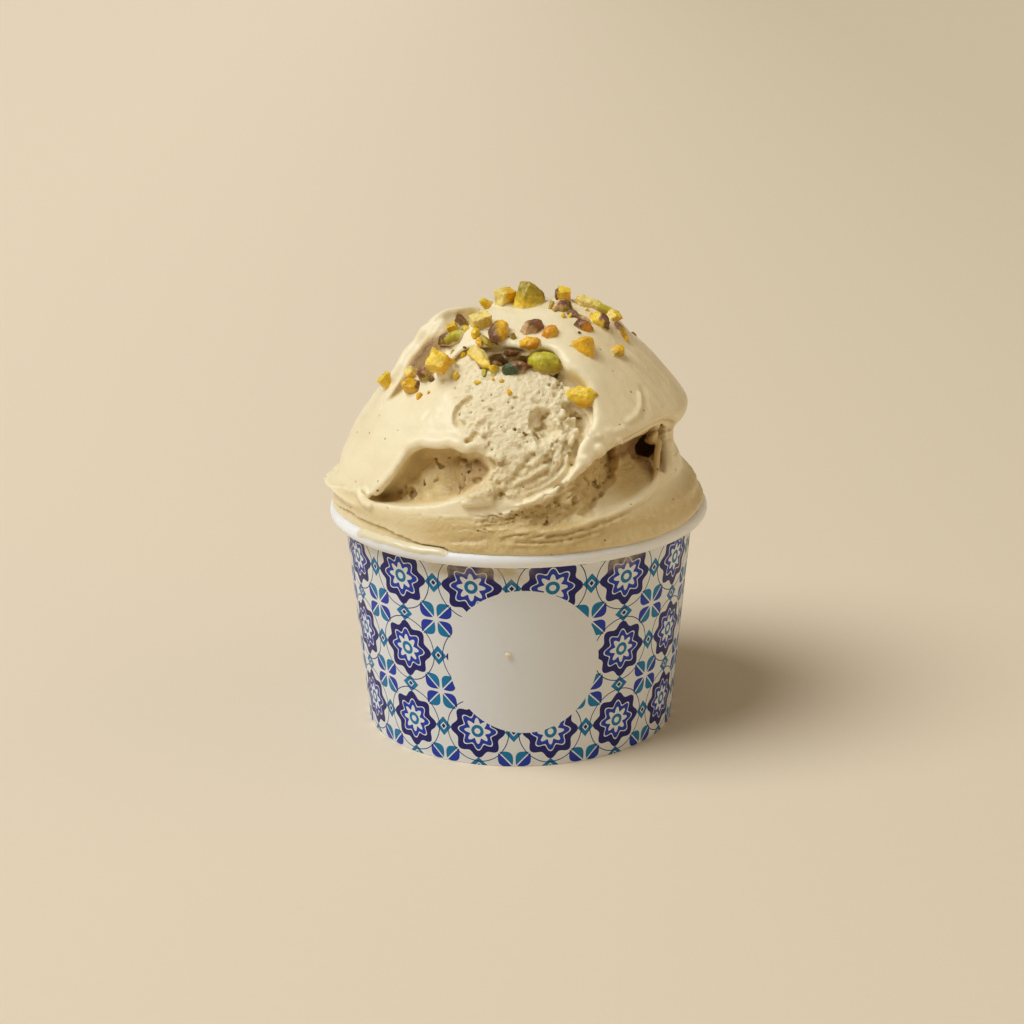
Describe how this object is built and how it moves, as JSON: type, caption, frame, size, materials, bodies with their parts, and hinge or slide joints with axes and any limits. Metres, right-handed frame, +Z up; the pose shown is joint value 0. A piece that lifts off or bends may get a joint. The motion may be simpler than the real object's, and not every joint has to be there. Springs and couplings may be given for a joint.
{
  "type": "gelato cup",
  "caption": "Single-serve paper cup heaped with pale pistachio gelato, its spatula-worked mound topped with chopped pistachios.",
  "frame": {"origin": "centre of the cup's foot ring, in the plane it stands on", "axes": "+Z up along the cup's axis; -Y is the front, the side with the plain white disc in the print; +X is the viewer's right, the side with the deep cave in the gelato"},
  "size_m": [0.0873, 0.087, 0.1026],
  "materials": {
    "paper": "satin",
    "gelato": "satin",
    "yellow": "satin",
    "green": "satin",
    "brown": "satin",
    "amber": "gloss"
  },
  "bodies": {
    "root": {"cup": "paper", "cup_base": "paper", "gelato": "gelato", "pistachio_01": "yellow", "pistachio_02": "yellow", "pistachio_03": "brown", "pistachio_04": "green", "pistachio_05": "yellow", "pistachio_06": "green", "pistachio_07": "brown", "pistachio_08": "yellow", "pistachio_09": "yellow", "pistachio_10": "amber", "pistachio_11": "yellow", "pistachio_12": "brown", "pistachio_13": "yellow", "pistachio_14": "green", "pistachio_15": "green", "pistachio_16": "brown", "pistachio_17": "green", "pistachio_18": "amber", "pistachio_19": "amber", "pistachio_20": "brown", "pistachio_21": "green", "pistachio_22": "yellow", "pistachio_23": "brown", "pistachio_24": "green", "pistachio_25": "yellow", "pistachio_26": "green", "pistachio_27": "amber", "pistachio_28": "brown", "pistachio_29": "yellow", "pistachio_30": "green", "pistachio_31": "yellow", "pistachio_32": "brown", "pistachio_33": "green", "pistachio_34": "yellow", "pistachio_35": "brown", "pistachio_36": "yellow"}
  },
  "joints": []
}
